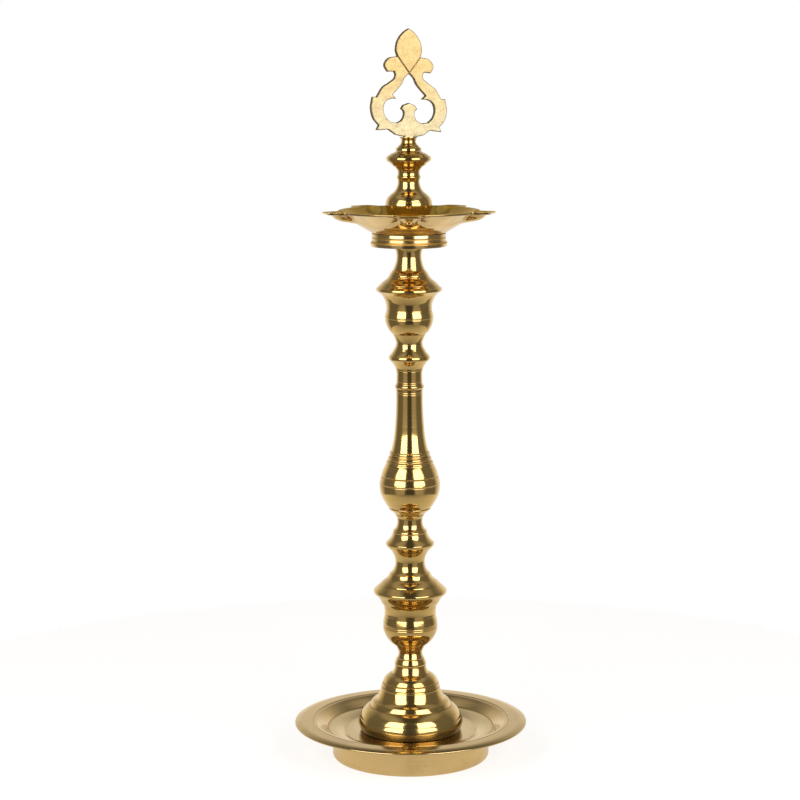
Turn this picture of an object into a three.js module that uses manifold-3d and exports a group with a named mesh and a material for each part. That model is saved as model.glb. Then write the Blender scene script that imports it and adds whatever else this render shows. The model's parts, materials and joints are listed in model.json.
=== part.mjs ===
// Brass standing oil lamp (samai). A dished base, three turned column sections, an oil pan with five
// wick spouts and a finial screw together on short threaded studs.
// Millimetres, +Z up. The origin is the centre of the foot ring's underside, on the lamp's axis.
import * as THREE from "three";
import { ParametricGeometry } from "three/addons/geometries/ParametricGeometry.js";
import { mergeVertices } from "three/addons/utils/BufferGeometryUtils.js";
import Module from "manifold-3d";

// Driving dimensions
const GAP = 0.3; // clearance between pieces that are brazed, seated or screwed together
const ARC_ERROR = 0.4; // how far a chord may cut inside a round moulding
const SIDES = { tray: 48, pedestal: 32, column: 24, small: 24 }; // facets round each turned piece
const SEAM = { pedestal: 89, lower: 207.6, middle: 329, pan: 438 }; // heights where sections part
const STUD_RADIUS = 5;
const STUD_REACH = 12; // how far a stud enters each of the two pieces it joins
const BORE = STUD_RADIUS + GAP; // every section is bored through for its studs

const FOOT = { radius: 66.1, inner: 62.8, height: 19.5 };
const TRAY = { rim: 98, floor: 22, thickness: 2.2, foot: 62, groove: 82.6 };
const PAN = { foot: 30.5, rim: 58.5, floor: 443.5, top: 462, thickness: 2.2, slope: 1 / 1.5 };
const PAN_BOSS = { lower: 11.6, upper: 9, top: 458 }; // the tapped middle, below and above the pan's floor
const SPOUT = { count: 5, tip: 72, halfWidth: 9.8, sideHeight: 9, sideCurve: 2.5 };
const KEEL = { root: 43, height: 451.7, slope: 0.174 }; // underside of a spout
const NOSE = { from: 57, to: 67.5, rise: 7.5 }; // where the keel curls up to the spout's lip
const PLATE = { thickness: 5, yaw: 20, skew: 0.045, bottom: 522.3, tang: 4, tangEnd: 515.6 };

// Materials
const polishedBrass = { color: 0xb08a3e, roughness: 0.12, metalness: 1 };
const satinBrass = { color: 0xe3c078, roughness: 0.35, metalness: 1 };
const threadedBrass = { color: 0x9c7a3c, roughness: 0.4, metalness: 1 };
const steel = { color: 0x8d8f92, roughness: 0.4, metalness: 1 };

const lamp = new THREE.Group();
lamp.name = "standing_oil_lamp";

function addPiece(name, geometry, finish) {
  const mesh = new THREE.Mesh(geometry, new THREE.MeshStandardMaterial(finish));
  mesh.name = name;
  lamp.add(mesh);
  return mesh;
}

// Outlines of turned pieces. Each corner is [radius, height] or [radius, height, swell]: the swell is
// how far the edge that leads to the corner stands out from a straight line, to the right of travel,
// so that on an outline drawn upwards a positive swell is a bead and a negative one a hollow.
function outline(corners) {
  const points = [];
  corners.forEach(([radius, height, swell = 0], i) => {
    const end = new THREE.Vector2(radius, height);
    if (swell) points.push(...arcBetween(new THREE.Vector2(...corners[i - 1]), end, swell));
    points.push(end);
  });
  return points;
}

function arcBetween(start, end, swell) {
  const chord = end.clone().sub(start);
  const right = new THREE.Vector2(chord.y, -chord.x).normalize();
  const half = chord.length() / 2;
  const radius = (half * half + swell * swell) / (2 * swell);
  const centre = start.clone().add(end).multiplyScalar(0.5).addScaledVector(right, swell - radius);
  const sweep = 4 * Math.atan(swell / half);
  const steps = Math.max(2, Math.ceil(Math.abs(sweep) / (2 * Math.acos(1 - ARC_ERROR / Math.abs(radius)))));
  const points = [];
  for (let i = 1; i < steps; i += 1) {
    points.push(start.clone().rotateAround(centre, (sweep * i) / steps));
  }
  return points;
}

// A turned piece: the outer outline runs upwards, the inner one back down through its bore.
function turned(outer, inner, segments) {
  const loop = [...outline(outer), ...outline(inner)];
  const geometry = new THREE.LatheGeometry([...loop, loop[0]], segments);
  return geometry.rotateX(Math.PI / 2);
}

// Booleans
const wasm = await Module();
wasm.setup();

function toSolid(geometry) {
  const bare = geometry.clone().deleteAttribute("normal").deleteAttribute("uv");
  const merged = mergeVertices(bare, 1e-3);
  return new wasm.Manifold(
    new wasm.Mesh({
      numProp: 3,
      vertProperties: merged.attributes.position.array,
      triVerts: new Uint32Array(merged.index.array),
    }),
  );
}

function toGeometry(solid) {
  const { vertProperties, triVerts } = solid.getMesh();
  const geometry = new THREE.BufferGeometry();
  geometry.setAttribute("position", new THREE.BufferAttribute(vertProperties, 3));
  geometry.setIndex(new THREE.BufferAttribute(triVerts, 1));
  return geometry;
}

function upright(radius, bottom, top, segments) {
  const cylinder = new THREE.CylinderGeometry(radius, radius, top - bottom, segments);
  return cylinder.rotateX(Math.PI / 2).translate(0, 0, (bottom + top) / 2);
}

// Base: dished tray on a foot ring, with the pedestal bolted on from below
function baseTray() {
  const { rim, floor, thickness, foot, groove } = TRAY;
  const under = floor - thickness;
  return turned(
    [
      [BORE, under],
      [foot + 5, under],
      [groove - 1, under + 8.4, -0.5],
      [rim - 7, under + 9],
      [rim - 0.6, under + 8.2, 0.3],
      [rim, under + 9.2, 0.2],
      [rim - 7, under + 11, 0.4],
      [groove + 0.8, under + 11.2],
      [groove, under + 10.7],
      [groove - 0.8, under + 11.1],
      [foot, floor, 0.6],
      [BORE, floor],
    ],
    [],
    SIDES.tray,
  );
}

function footRing() {
  const { radius, inner, height } = FOOT;
  return turned(
    [
      [inner, 0],
      [radius - 1, 0],
      [radius, 1.2],
      [radius, height],
      [inner, height],
    ],
    [],
    SIDES.tray,
  );
}

function pedestalDome() {
  const bottom = TRAY.floor + GAP;
  return turned(
    [
      [42.4, bottom],
      [44.3, 27, 0.2],
      [43, 33.4, 0.2],
      [39.4, 40, 0.5],
      [34.6, 43.2],
      [33.4, 46.2],
      [28.6, 50.3, -0.5],
      [24.8, 58.3],
      [24.3, 61.4],
      [21.6, 67],
      [17.2, 70.3, 0.6],
      [15.8, 71.2],
      [13, 77],
      [13.4, 79],
      [9.8, SEAM.pedestal - GAP / 2],
    ],
    [
      [BORE, SEAM.pedestal - GAP / 2],
      [BORE, bottom],
      [13, bottom],
      [13.5, 56],
      [20.5, 56],
      [22, 46],
      [33, 39],
      [38.5, 32],
      [38.5, bottom],
    ],
    SIDES.pedestal,
  );
}

const BOLT = { headRadius: 9.2, headTop: 17.2, headHeight: 6.4, washer: 20, washerThickness: 2 };

function baseBolt() {
  const head = upright(BOLT.headRadius, BOLT.headTop - BOLT.headHeight, BOLT.headTop, 6);
  const shank = upright(STUD_RADIUS - 0.1, BOLT.headTop - 1, TRAY.floor + 14, SIDES.small);
  return toGeometry(toSolid(head).add(toSolid(shank)));
}

function baseWasher() {
  const bottom = BOLT.headTop + GAP / 2;
  const top = bottom + BOLT.washerThickness;
  return turned(
    [
      [BORE, bottom],
      [BOLT.washer, bottom],
      [BOLT.washer, top],
      [BORE, top],
    ],
    [],
    SIDES.small,
  );
}

addPiece("base_tray", baseTray(), polishedBrass);
addPiece("foot_ring", footRing(), polishedBrass);
addPiece("pedestal_dome", pedestalDome(), polishedBrass);
addPiece("base_washer", baseWasher(), steel);
addPiece("base_bolt", baseBolt(), steel);

// Column: three cored sections, each with a stud brazed into its lower end
function stud(seam) {
  return upright(STUD_RADIUS, seam - STUD_REACH, seam + STUD_REACH, SIDES.small);
}

function columnSection(from, to, mouldings, core) {
  const bottom = from + GAP / 2;
  const top = to - GAP / 2;
  return turned(
    [[mouldings[0], bottom], ...mouldings.slice(1, -1), [mouldings.at(-1), top]],
    [[BORE, top], ...core, [BORE, bottom]],
    SIDES.column,
  );
}

// The lower vase: an egg cup under a wide disc, then a flared collar.
function lowerVase() {
  return columnSection(
    SEAM.pedestal,
    SEAM.lower,
    [
      9.8,
      [10.6, 92],
      [14.2, 96.3, -0.3],
      [22.7, 109.3, 1.3],
      [22.9, 114],
      [21.6, 122],
      [22.2, 129.3, -0.3],
      [24, 132.5],
      [26.7, 136.8],
      [30.3, 140.3],
      [30.6, 143.2, 0.4],
      [22, 151.2],
      [17.9, 155],
      [17, 157],
      [12.5, 164.4, -0.7],
      [12.5, 169.8],
      [16.7, 177.8, -0.6],
      [19.9, 180.8],
      [20.1, 183.8, 0.3],
      [14.3, 191.4, -0.4],
      [13.7, 194.4],
      [10.6, 199.6, -0.4],
      [10.6, 204.6],
      12.2,
    ],
    [
      [BORE, 193.5],
      [8, 190],
      [12, 183],
      [8, 174],
      [8, 158],
      [16, 140],
      [15.5, 109],
      [BORE, 103.5],
    ],
  );
}

// The middle baluster: a ringed bulb that tapers into a long neck.
function middleBaluster() {
  return columnSection(
    SEAM.lower,
    SEAM.middle,
    [
      12.2,
      [16.8, 212],
      [17.5, 213.8],
      [24.2, 224, 0.6],
      [25.1, 234, 0.3],
      [23.8, 240.4],
      [19.5, 250.4, 0.5],
      [19.4, 252.4],
      [18.1, 253.8],
      [18, 255.8],
      [16.6, 257.8],
      [16.6, 260.2],
      [15.4, 261.8],
      [11.2, 300, -0.9],
      [10.9, 313.4],
      [11.8, 315, 0],
      [11.8, 316.6, 0],
      [10.6, 318.6],
      [10.5, 326.5],
      10.9,
    ],
    [
      [BORE, 314],
      [7, 296],
      [11, 258],
      [18.5, 240],
      [18, 227],
      [BORE, 222.5],
    ],
  );
}

// The upper vase: a flared cup, a round bulb under a thin disc, and the neck that carries the pan.
function upperVase() {
  return columnSection(
    SEAM.middle,
    SEAM.pan,
    [
      10.9,
      [13.3, 334.6],
      [16.5, 338.4, 0.3],
      [16.7, 341.3, 0.4],
      [12.5, 347.3],
      [10.7, 351.8],
      [13.7, 359.8, -0.3],
      [17, 363.5],
      [20, 372, 0.5],
      [19.9, 374.4],
      [18.9, 379],
      [19, 384],
      [20.4, 388.4],
      [23.4, 393.2],
      [27.3, 396.1],
      [27.2, 397.9, 0.2],
      [19.6, 404.6, 0.2],
      [16.1, 409.4, -0.2],
      [13.4, 412.7],
      [10.2, 423.4, -0.3],
      [10.5, 427.5],
      [12.7, 433],
      12.7,
    ],
    [
      [BORE, 414],
      [9, 408],
      [17, 396],
      [14, 384],
      [14, 366],
      [6.5, 352],
      [BORE, 343.5],
    ],
  );
}

addPiece("lower_stud", stud(SEAM.pedestal), threadedBrass);
addPiece("lower_vase", lowerVase(), polishedBrass);
addPiece("middle_stud", stud(SEAM.lower), threadedBrass);
addPiece("middle_baluster", middleBaluster(), polishedBrass);
addPiece("upper_stud", stud(SEAM.middle), threadedBrass);
addPiece("upper_vase", upperVase(), polishedBrass);

// Oil pan: a shallow cone with troughs pressed out to carry the wicks, tapped through its boss

// The rim in plan, as a radius for each angle from a spout's middle: a circle with blunt tongues.
function rimRadius(angle) {
  const side = SPOUT.halfWidth / Math.sin(Math.max(Math.abs(angle), 1e-6));
  return Math.max(PAN.rim, Math.min(SPOUT.tip / Math.cos(angle), side));
}

// Height of the wall's underside at a point along and across a spout.
function wallUnderside(along, across) {
  const cone = PAN.floor + (Math.hypot(along, across) - PAN.foot) * PAN.slope;
  const curl = Math.min(1, Math.max(0, along - NOSE.from) / (NOSE.to - NOSE.from));
  const nose = NOSE.rise * (1 - Math.sqrt(1 - curl * curl));
  const keel = KEEL.height + KEEL.slope * (along - KEEL.root) + nose;
  const sides = SPOUT.sideHeight * Math.abs(across / SPOUT.halfWidth) ** SPOUT.sideCurve;
  return Math.min(cone, keel + sides, PAN.top - PAN.thickness);
}

// The wall's stations from the foot ring (0) to the rim (1), at an angle from the +X axis.
function wallPoint(turn, station, lift) {
  const pitch = (2 * Math.PI) / SPOUT.count;
  const angle = turn - pitch * Math.round(turn / pitch);
  const inset = lift ? RIM_INSET * station : 0;
  const radius = PAN.foot + (rimRadius(angle) - PAN.foot) * station - inset;
  const under = wallUnderside(radius * Math.cos(angle), radius * Math.sin(angle));
  return [radius, lift ? Math.min(under + PAN.thickness, PAN.top) : under];
}

const WALL_STATIONS = 4;
const RIM_INSET = 1.3; // how much narrower the pan is inside its rim
const SPOUT_SECTIONS = 12; // sections through each fifth of the pan
const CROWDING = 0.28; // spacing of the sections at a spout's middle, as a share of their mean spacing

// One section through the pan, as a closed loop of [radius, height].
function panSection(turn) {
  const wall = [...Array(WALL_STATIONS + 1).keys()].map((i) => i / WALL_STATIONS);
  return [
    [BORE, SEAM.pan + GAP / 2],
    [PAN_BOSS.lower, SEAM.pan + GAP / 2],
    [PAN_BOSS.lower, PAN.floor],
    ...wall.map((station) => wallPoint(turn, station, false)),
    ...wall.map((station) => wallPoint(turn, 1 - station, true)),
    [PAN_BOSS.upper, PAN.floor + PAN.thickness],
    [PAN_BOSS.upper, PAN_BOSS.top],
    [BORE, PAN_BOSS.top],
    [BORE, SEAM.pan + GAP / 2],
  ];
}

// Angles around the pan, closer together at the spouts.
function panTurn(fraction) {
  const pitch = (2 * Math.PI) / SPOUT.count;
  const place = fraction * SPOUT.count;
  const near = place - Math.round(place);
  return pitch * (Math.round(place) + near * (CROWDING + 4 * (1 - CROWDING) * near * near));
}

function oilPan() {
  const around = SPOUT_SECTIONS * SPOUT.count;
  const turns = [...Array(around).keys()].map((i) => panTurn(i / around));
  const sections = turns.map(panSection);
  const stations = sections[0].length - 1;
  const place = (u, v, target) => {
    const i = Math.round(u * around) % around;
    const [radius, height] = sections[i][Math.round(v * stations)];
    target.set(radius * Math.cos(turns[i]), radius * Math.sin(turns[i]), height);
  };
  return new ParametricGeometry(place, around, stations);
}

function panFootRing() {
  const top = PAN.floor - GAP;
  return turned(
    [
      [PAN.foot - 2.4, 432.6],
      [PAN.foot + 1.2, 432.6],
      [PAN.foot, 436.4, -0.3],
      [PAN.foot, top],
      [PAN.foot - 2.4, top],
    ],
    [],
    SIDES.pedestal,
  );
}

const pan = addPiece("oil_pan", oilPan(), polishedBrass);
pan.rotation.z = -Math.PI / 2; // one spout points along -Y
addPiece("pan_foot_ring", panFootRing(), polishedBrass);
const PAN_STUD_TOP = SEAM.pan + 9;
addPiece("pan_stud", upright(STUD_RADIUS, SEAM.pan - STUD_REACH, PAN_STUD_TOP, SIDES.small), threadedBrass);

// Finial: a bulb with a hollow foot, the neck brazed into it, and the flat plate held in the neck
const NECK = { spigot: 5, spigotEnd: 502, seat: 510.4, top: 521.8 };

const BOSS_CLEARANCE = 1; // round the pan's boss, which stands inside the finial's hollow foot

function finialBase() {
  const bottom = PAN.floor + PAN.thickness + GAP;
  return turned(
    [
      [14.5, bottom],
      [14.3, 449, 0.3],
      [12.2, 452],
      [19.2, 467.5, 2],
      [15.3, 474.8, 0.9],
      [9.8, 481.2, -0.7],
      [8.8, 485.4],
      [9.7, 489.2, 0.1],
      [8.9, 492.3],
      [9.6, 495.4],
      [16.4, 501.9, -0.2],
      [18, 504],
      [17.2, 506.3],
      [11.6, NECK.seat, 0.4],
    ],
    [
      [BORE, NECK.seat],
      [BORE, PAN_BOSS.top + 0.5],
      [PAN_BOSS.upper + BOSS_CLEARANCE, PAN_BOSS.top + 0.5],
      [PAN_BOSS.upper + BOSS_CLEARANCE, bottom],
    ],
    SIDES.column,
  );
}

function finialNeck() {
  const seat = NECK.seat + GAP;
  const turnedNeck = turned(
    [
      [0, NECK.spigotEnd],
      [NECK.spigot, NECK.spigotEnd],
      [NECK.spigot, seat],
      [11.2, seat],
      [10.4, 513, 0.2],
      [8, 514.9],
      [6, 517.4, -0.3],
      [5.9, 519.6],
      [7.2, NECK.top],
      [0, NECK.top],
    ],
    [],
    SIDES.small,
  );
  const width = 2 * (PLATE.tang + GAP);
  const depth = NECK.top - PLATE.tangEnd + GAP;
  const slot = new THREE.BoxGeometry(width, PLATE.thickness + 2 * GAP, 2 * depth);
  slot.translate(0, 0, NECK.top);
  slot.rotateZ(THREE.MathUtils.degToRad(PLATE.yaw));
  return toGeometry(toSolid(turnedNeck).subtract(toSolid(slot)));
}

function finialStud() {
  return upright(STUD_RADIUS, PAN_STUD_TOP + GAP, 472, SIDES.small);
}

// Half outlines of the plate, as [distance from its middle, height]; each stroke is one smooth curve.
const PLATE_EDGE = [
  [[0, PLATE.tangEnd], [PLATE.tang, PLATE.tangEnd]],
  [[PLATE.tang, PLATE.bottom], [7.1, PLATE.bottom]],
  [[11.9, 523.3], [15.5, 525.7], [18.6, 527.4], [22.9, 526.9], [28.2, 526.6]],
  [[26.3, 530.5], [31, 536], [32.9, 544.3], [31.4, 553.4]],
  [[27.9, 553.4], [22.9, 561.3], [17.3, 565.2], [12.7, 568.8], [11.8, 572], [13, 574.4]],
  [[18.6, 574], [21.1, 578.4], [20, 582.4], [16.4, 585.5], [9.9, 586.6]],
  [[11.3, 591.2], [10.4, 597.4], [7.8, 602.6], [4, 606.8], [0, 609.4]],
];
const PLATE_OPENING = [
  [[0, 573.4], [3.9, 569.5], [7, 563.6], [14.4, 555.6]],
  [[11.1, 552.5], [16, 552.3], [20.6, 549.6], [22.3, 544], [20.8, 538.2], [16.6, 533.8]],
  [[10.8, 532.9], [6.6, 535.3], [4.6, 539], [4.8, 542.4], [6.9, 544.5]],
  [[5, 547.5], [0, 549.4]],
];

function mirroredPath(strokes, PathType) {
  const half = strokes.flatMap((stroke) => {
    const corners = stroke.map(([x, z]) => new THREE.Vector2(x, z));
    return corners.length > 2 ? new THREE.SplineCurve(corners).getPoints(2 * corners.length) : corners;
  });
  const other = half.slice(1, -1).reverse();
  const loop = [...half, ...other.map(({ x, y }) => new THREE.Vector2(-x, y))];
  return new PathType(loop.map(({ x, y }) => new THREE.Vector2(x, y - PLATE.skew * x)));
}

function finialPlate() {
  const shape = mirroredPath(PLATE_EDGE, THREE.Shape);
  shape.holes.push(mirroredPath(PLATE_OPENING, THREE.Path));
  const geometry = new THREE.ExtrudeGeometry(shape, { depth: PLATE.thickness, bevelEnabled: false });
  return geometry.translate(0, 0, -PLATE.thickness / 2).rotateX(Math.PI / 2);
}

addPiece("finial_stud", finialStud(), threadedBrass);
addPiece("finial_base", finialBase(), polishedBrass);
addPiece("finial_neck", finialNeck(), polishedBrass);
const plate = addPiece("finial_plate", finialPlate(), satinBrass);
plate.rotation.z = THREE.MathUtils.degToRad(PLATE.yaw);

export default lamp;
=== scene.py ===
"""Brass standing oil lamp (samai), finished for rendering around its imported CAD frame.

Outlines are in millimetres: the radius first, then the height above the floor. Objects are in metres.
"""
import json
import math

import bmesh
import bpy
from mathutils import Matrix, Vector


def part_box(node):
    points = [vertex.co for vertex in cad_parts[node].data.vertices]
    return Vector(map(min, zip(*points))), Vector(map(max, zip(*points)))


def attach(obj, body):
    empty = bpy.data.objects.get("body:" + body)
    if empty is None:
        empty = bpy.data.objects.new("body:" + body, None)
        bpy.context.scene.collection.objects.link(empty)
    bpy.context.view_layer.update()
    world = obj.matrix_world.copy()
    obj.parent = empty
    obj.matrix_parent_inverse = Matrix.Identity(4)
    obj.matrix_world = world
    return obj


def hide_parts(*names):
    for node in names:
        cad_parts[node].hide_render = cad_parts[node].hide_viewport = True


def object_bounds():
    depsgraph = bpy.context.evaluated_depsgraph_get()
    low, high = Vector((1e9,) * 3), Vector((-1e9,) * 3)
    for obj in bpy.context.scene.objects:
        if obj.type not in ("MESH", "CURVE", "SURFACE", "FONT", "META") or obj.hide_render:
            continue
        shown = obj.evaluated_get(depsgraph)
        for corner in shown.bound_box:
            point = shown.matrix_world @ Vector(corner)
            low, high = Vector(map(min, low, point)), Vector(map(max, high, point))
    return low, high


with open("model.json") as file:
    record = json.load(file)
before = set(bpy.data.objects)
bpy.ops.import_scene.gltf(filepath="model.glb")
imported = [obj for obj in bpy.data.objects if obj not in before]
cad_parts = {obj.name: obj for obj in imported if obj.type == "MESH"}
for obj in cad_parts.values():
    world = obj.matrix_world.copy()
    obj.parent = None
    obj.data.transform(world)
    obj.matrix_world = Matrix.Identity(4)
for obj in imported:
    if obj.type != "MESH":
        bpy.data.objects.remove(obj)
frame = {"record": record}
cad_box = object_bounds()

MM = 0.001  # metres in a millimetre
AROUND = {"tray": 224, "dome": 160, "column": 128, "small": 64}  # facets round each kind of turning
ARC_CHORD = 0.9  # longest chord on a moulding
ARC_TURN = math.radians(11)  # widest angle that one chord of a moulding spans
SHARP = math.radians(14)  # corners that turn more than this are rounded
CORNER_TURN = math.radians(24)  # widest angle that one chord of a rounded corner spans
EDGE_ROUND = 0.35  # radius that polishing leaves on an edge
RELIEF_REACH = 0.7  # how far from an edge or a groove wear and dirt spread
PITCH = 2.0  # rise of the stud threads in one turn
THREAD_DEPTH = 0.75
STUD = 5.0  # radius of a stud over its threads
BORE = 5.3  # radius of the holes that the studs and the bolt go through
PLATE_YAW = math.radians(20)  # how far the finial plate stands turned from facing front

BODY_OF = {node: body for body, nodes in frame["record"]["behaviour"]["bodies"].items() for node in nodes}


def heights(node):
    """A CAD node's lowest and highest point, in millimetres."""
    low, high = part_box(node)
    return low.z / MM, high.z / MM


# ---------------------------------------------------------------- outlines of turned pieces


def arc(start, end, swell):
    """Points between the ends of an arc that stands out by swell to the right of travel."""
    chord = end - start
    half = chord.length / 2
    right = Vector((chord.y, -chord.x)).normalized()
    radius = (half * half + swell * swell) / (2 * swell)
    centre = (start + end) / 2 + right * (swell - radius)
    sweep = 4 * math.atan(swell / half)
    steps = max(3, math.ceil(abs(sweep * radius) / ARC_CHORD), math.ceil(abs(sweep) / ARC_TURN))
    return [centre + Matrix.Rotation(sweep * i / steps, 2) @ (start - centre) for i in range(1, steps)]


def outline(corners):
    """Points through corners of (radius, height) or (radius, height, swell of the edge that leads there)."""
    points = []
    for radius, height, *swell in corners:
        corner = Vector((radius, height))
        if swell and swell[0]:
            points += arc(points[-1], corner, swell[0])
        points.append(corner)
    return points


def turn_at(before, here, after):
    """How far an outline turns at a point: positive where the surface is an edge, negative in a groove."""
    into, away = here - before, after - here
    return math.atan2(into.x * away.y - into.y * away.x, into.dot(away))


def around(points):
    """Each point of a closed outline with the points before and after it."""
    return zip(points[-1:] + points[:-1], points, points[1:] + points[:1])


def softened(points, radius):
    """The outline with its sharp corners rounded."""
    result = []
    for before, here, after in around(points):
        turn = abs(turn_at(before, here, after))
        if turn < SHARP or here.x == 0:
            result.append(here)
            continue
        into, away = here - before, after - here
        trim = min(radius * math.tan(turn / 2), 0.4 * into.length, 0.4 * away.length)
        start = here - into.normalized() * trim
        end = here + away.normalized() * trim
        steps = max(2, math.ceil(turn / CORNER_TURN))
        for i in range(steps + 1):
            s = i / steps
            result.append(start * (1 - s) ** 2 + here * (2 * s * (1 - s)) + end * s * s)
    return result


def split_at(points, level, axis):
    """The open outline with a point added wherever it crosses a radius (axis 0) or a height (axis 1)."""
    result = points[:1]
    for start, end in zip(points, points[1:]):
        if (start[axis] - level) * (end[axis] - level) < 0:
            result.append(start.lerp(end, (level - start[axis]) / (end[axis] - start[axis])))
        result.append(end)
    return result


def scribed(points, lines, axis=1):
    """Cuts fine turned lines: each is (height or radius, width, depth), and a negative depth is a bead."""
    for level, width, depth in lines:
        for share in (-0.5, -0.25, 0, 0.25, 0.5):
            points = split_at(points, level + width * share, axis)
        moved = []
        for before, here, after in around(points):
            reach = min(1, abs(here[axis] - level) / (width / 2))
            travel = (after - before).normalized()
            inwards = Vector((-travel.y, travel.x))
            moved.append(here + inwards * depth * (0.5 + 0.5 * math.cos(math.pi * reach)))
        points = [points[0], *moved[1:-1], points[-1]]
    return points


def relief_of(points):
    """For each point, 1 on a sharp edge, -1 deep in a groove and 0 on plain surface."""
    turns = [turn_at(*three) for three in around(points)]
    reliefs = []
    for here in points:
        total = 0
        for there, turn in zip(points, turns):
            distance = (there - here).length
            if distance < 3 * RELIEF_REACH:
                total += turn * math.exp(-((distance / RELIEF_REACH) ** 2))
        reliefs.append(max(-1, min(1, total)))
    return reliefs


# ---------------------------------------------------------------- meshes


def spin(points, segments, shape=None):
    """A mesh made by turning a closed outline, or one that starts and ends on the axis, about +Z.

    shape(radius, height, angle) may give the surface another radius at each place.
    """
    closed = points[0].x > 0
    reliefs = relief_of(points)
    mesh = bmesh.new()
    layer = mesh.verts.layers.float.new("relief")
    columns = []
    for i in range(segments):
        angle = 2 * math.pi * i / segments
        column = []
        for point, relief in zip(points, reliefs):
            radius = shape(point.x, point.y, angle) if shape else point.x
            place = Vector((radius * math.cos(angle), radius * math.sin(angle), point.y)) * MM
            vert = mesh.verts.new(place)
            vert[layer] = relief
            column.append(vert)
        columns.append(column)
    count = len(points)
    for i in range(segments):
        here, there = columns[i], columns[(i + 1) % segments]
        for j in range(count if closed else count - 1):
            k = (j + 1) % count
            mesh.faces.new((here[j], there[j], there[k], here[k]))
    return welded(mesh)


def welded(mesh):
    """The bmesh with doubled points merged and its faces turned outwards."""
    bmesh.ops.remove_doubles(mesh, verts=mesh.verts, dist=1e-6)
    bmesh.ops.recalc_face_normals(mesh, faces=mesh.faces)
    return mesh


def mesh_data(name, mesh):
    """Blender mesh data made from a bmesh, which is used up."""
    data = bpy.data.meshes.new(name)
    mesh.to_mesh(data)
    mesh.free()
    return data


def add_object(name, data):
    """A new object in the scene, for a mesh, curve, light or camera."""
    made = bpy.data.objects.new(name, data)
    bpy.context.scene.collection.objects.link(made)
    return made


def baked(holder):
    """The mesh that an object shows with its curve or modifier applied; the object itself goes."""
    bpy.context.view_layer.update()
    evaluated = holder.evaluated_get(bpy.context.evaluated_depsgraph_get())
    result = bpy.data.meshes.new_from_object(evaluated)
    bpy.data.objects.remove(holder)
    return result


def add_piece(node, data, material, sharp_angle=None):
    """Makes mesh data into the shown piece that stands for a CAD node and rides on its body."""
    name = node + "_model"
    data.name = name
    data.shade_smooth()
    if sharp_angle:
        data.set_sharp_from_angle(angle=sharp_angle)
    data.materials.clear()
    data.materials.append(material)
    piece = add_object(name, data)
    weighted = piece.modifiers.new("weighted normals", "WEIGHTED_NORMAL")
    weighted.keep_sharp = bool(sharp_angle)
    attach(piece, BODY_OF[node])
    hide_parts(node)


def turned(node, outer, inner, material, size, lines=(), rounding=EDGE_ROUND):
    """A turned piece: the outer outline runs upwards and the inner one runs back down the bore."""
    outside = scribed(outline(outer), lines)
    loop = softened(outside + outline(inner), rounding)
    add_piece(node, mesh_data(node, spin(loop, AROUND[size])), material)


def cut_away(data, cutter):
    """The mesh with a closed bmesh cut out of it."""
    tool = add_object("cutter", mesh_data("cutter", cutter))
    holder = add_object("holder", data)
    cut = holder.modifiers.new("cut", "BOOLEAN")
    cut.operation = "DIFFERENCE"
    cut.solver = "EXACT"
    cut.object = tool
    result = baked(holder)
    bpy.data.objects.remove(tool)
    return result


def block(corners):
    """A closed bmesh over eight corners: four round the bottom, then the four above them."""
    mesh = bmesh.new()
    verts = [mesh.verts.new(corner) for corner in corners]
    for face in ((3, 2, 1, 0), (4, 5, 6, 7), (0, 1, 5, 4), (1, 2, 6, 5), (2, 3, 7, 6), (3, 0, 4, 7)):
        mesh.faces.new([verts[i] for i in face])
    bmesh.ops.recalc_face_normals(mesh, faces=mesh.faces)
    return mesh


# ---------------------------------------------------------------- materials


def add_node(tree, kind, inputs=None, **settings):
    """Adds a shader node; an input that is given a socket is linked, and any other value is set."""
    made = tree.nodes.new("ShaderNode" + kind)
    for key, value in settings.items():
        setattr(made, key, value)
    for key, value in (inputs or {}).items():
        if isinstance(value, bpy.types.NodeSocket):
            tree.links.new(value, made.inputs[key])
        else:
            made.inputs[key].default_value = value
    return made


def maths(tree, operation, first, second=0.0):
    """The result of one sum on numbers or sockets."""
    return add_node(tree, "Math", {0: first, 1: second}, operation=operation).outputs[0]


def spread(tree, value, low, high, to_low=0.0, to_high=1.0):
    """Maps low..high of a value to another range, without leaving it."""
    inputs = {"Value": value, "From Min": low, "From Max": high, "To Min": to_low, "To Max": to_high}
    return add_node(tree, "MapRange", inputs, clamp=True).outputs["Result"]


def blended(tree, share, first, second):
    """The first colour where share is 0 and the second where it is 1; a colour is RGB or a socket."""
    colours = [(*tone, 1) if isinstance(tone, tuple) else tone for tone in (first, second)]
    made = add_node(tree, "Mix", {"Factor": share, 6: colours[0], 7: colours[1]}, data_type="RGBA")
    return made.outputs[2]


def noise(tree, vector, scale, detail=3.0, roughness=0.5):
    """Noise with about scale features to each unit of the vector."""
    inputs = {"Vector": vector, "Scale": scale, "Detail": detail, "Roughness": roughness}
    return add_node(tree, "TexNoise", inputs).outputs["Fac"]


def bumps(tree, height, depth, under=None, strength=1.0):
    """A normal for relief of a depth in millimetres, laid over another normal if one is given."""
    inputs = {"Strength": strength, "Distance": depth * MM, "Height": height}
    if under is not None:
        inputs["Normal"] = under
    return add_node(tree, "Bump", inputs).outputs[0]


def unturned(tree, vector, yaw):
    """A vector as it would be before its piece was turned about +Z."""
    inputs = {"Vector": vector, "Angle": -yaw}
    return add_node(tree, "VectorRotate", inputs, rotation_type="Z_AXIS").outputs[0]


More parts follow.
